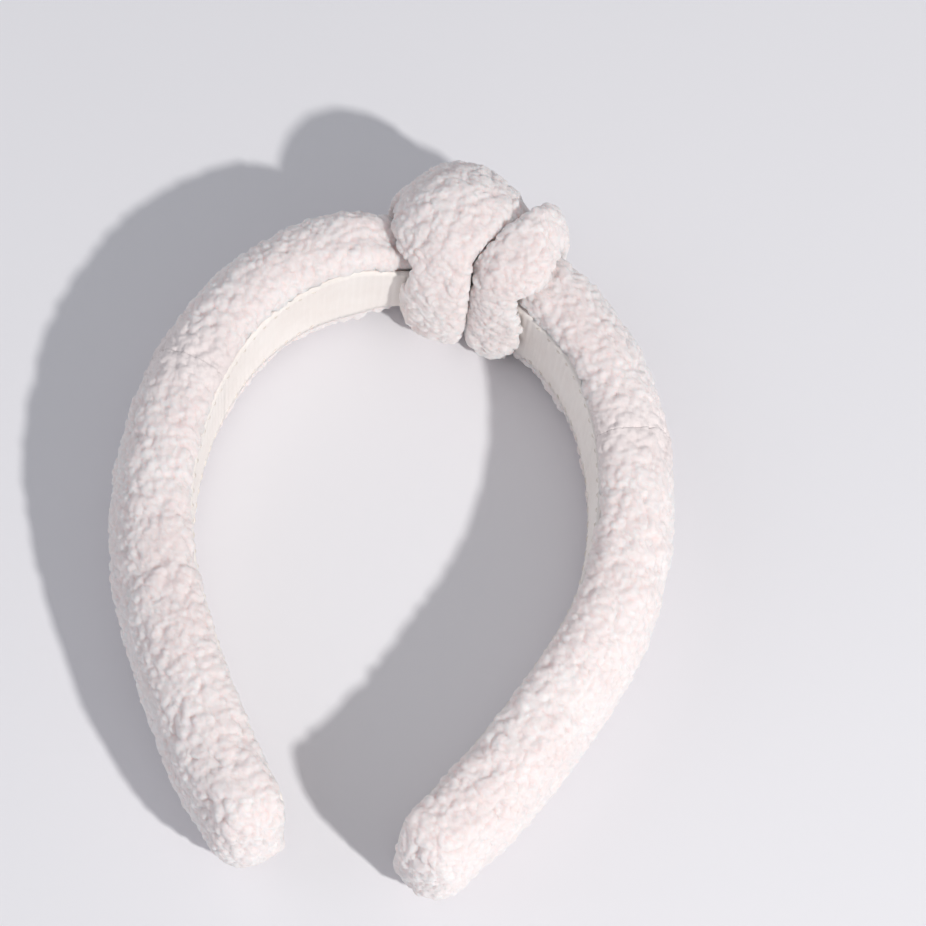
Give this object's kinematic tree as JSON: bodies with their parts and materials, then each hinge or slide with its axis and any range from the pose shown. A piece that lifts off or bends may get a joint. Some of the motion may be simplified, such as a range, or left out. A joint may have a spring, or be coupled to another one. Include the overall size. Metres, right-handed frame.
{
  "type": "spa headband",
  "caption": "Padded fleece spa headband: an open springy hoop with a plump knot at the crown and a smooth ribbon lining, lying on its side.",
  "frame": {"origin": "under the middle of the headband's bounding box, on the surface that it lies on", "axes": "+Z across the band's width, up as it lies on its side; +Y towards the knot at the crown, with the tips at -Y; +X towards the arm on the right in the picture"},
  "size_m": [0.137, 0.1824, 0.049],
  "materials": {
    "fleece": "curly cream-white sherpa fleece, long pile, fully matte with a soft sheen",
    "lining_ribbon": "plain cream grosgrain ribbon, fine cross ribs, faint sheen",
    "foam": "soft off-white polyurethane foam, open cell, matte",
    "hoop_plastic": "thin white springy moulded plastic, satin",
    "filling": "white polyester fibre filling, matte"
  },
  "bodies": {
    "crown": {"hoop_crown": "hoop_plastic", "foam_crown": "foam", "cover_crown": "fleece", "lining_crown": "lining_ribbon", "knot_filling": "filling", "knot_broad_turn": "fleece", "knot_tucked_turn": "fleece"},
    "right_upper_arm": {"hoop_right_upper": "hoop_plastic", "foam_right_upper": "foam", "cover_right_upper": "fleece", "lining_right_upper": "lining_ribbon"},
    "right_lower_arm": {"hoop_right_lower": "hoop_plastic", "foam_right_lower": "foam", "cover_right_lower": "fleece", "lining_right_lower": "lining_ribbon"},
    "left_upper_arm": {"hoop_left_upper": "hoop_plastic", "foam_left_upper": "foam", "cover_left_upper": "fleece", "lining_left_upper": "lining_ribbon"},
    "left_lower_arm": {"hoop_left_lower": "hoop_plastic", "foam_left_lower": "foam", "cover_left_lower": "fleece", "lining_left_lower": "lining_ribbon"}
  },
  "joints": [
    {"name": "right_shoulder_flex", "type": "hinge", "parent": "crown", "child": "right_upper_arm", "pos_m": [0.02868, 0.05538, 0.021], "axis": [0, 0, 1], "range_deg": [-3, 20], "stiffness_Nm_per_rad": 0.5},
    {"name": "right_elbow_flex", "type": "hinge", "parent": "right_upper_arm", "child": "right_lower_arm", "pos_m": [0.05097, -0.01221, 0.021], "axis": [0, 0, 1], "range_deg": [-1.8, 12], "stiffness_Nm_per_rad": 0.5},
    {"name": "left_shoulder_flex", "type": "hinge", "parent": "crown", "child": "left_upper_arm", "pos_m": [-0.02868, 0.05538, 0.021], "axis": [0, 0, -1], "range_deg": [-3, 20], "stiffness_Nm_per_rad": 0.5},
    {"name": "left_elbow_flex", "type": "hinge", "parent": "left_upper_arm", "child": "left_lower_arm", "pos_m": [-0.05097, -0.01221, 0.021], "axis": [0, 0, -1], "range_deg": [-1.8, 12], "stiffness_Nm_per_rad": 0.5}
  ],
  "couplings": [
    {"joint": "right_elbow_flex", "follows": "right_shoulder_flex", "ratio": 0.6},
    {"joint": "left_elbow_flex", "follows": "left_shoulder_flex", "ratio": 0.6}
  ]
}
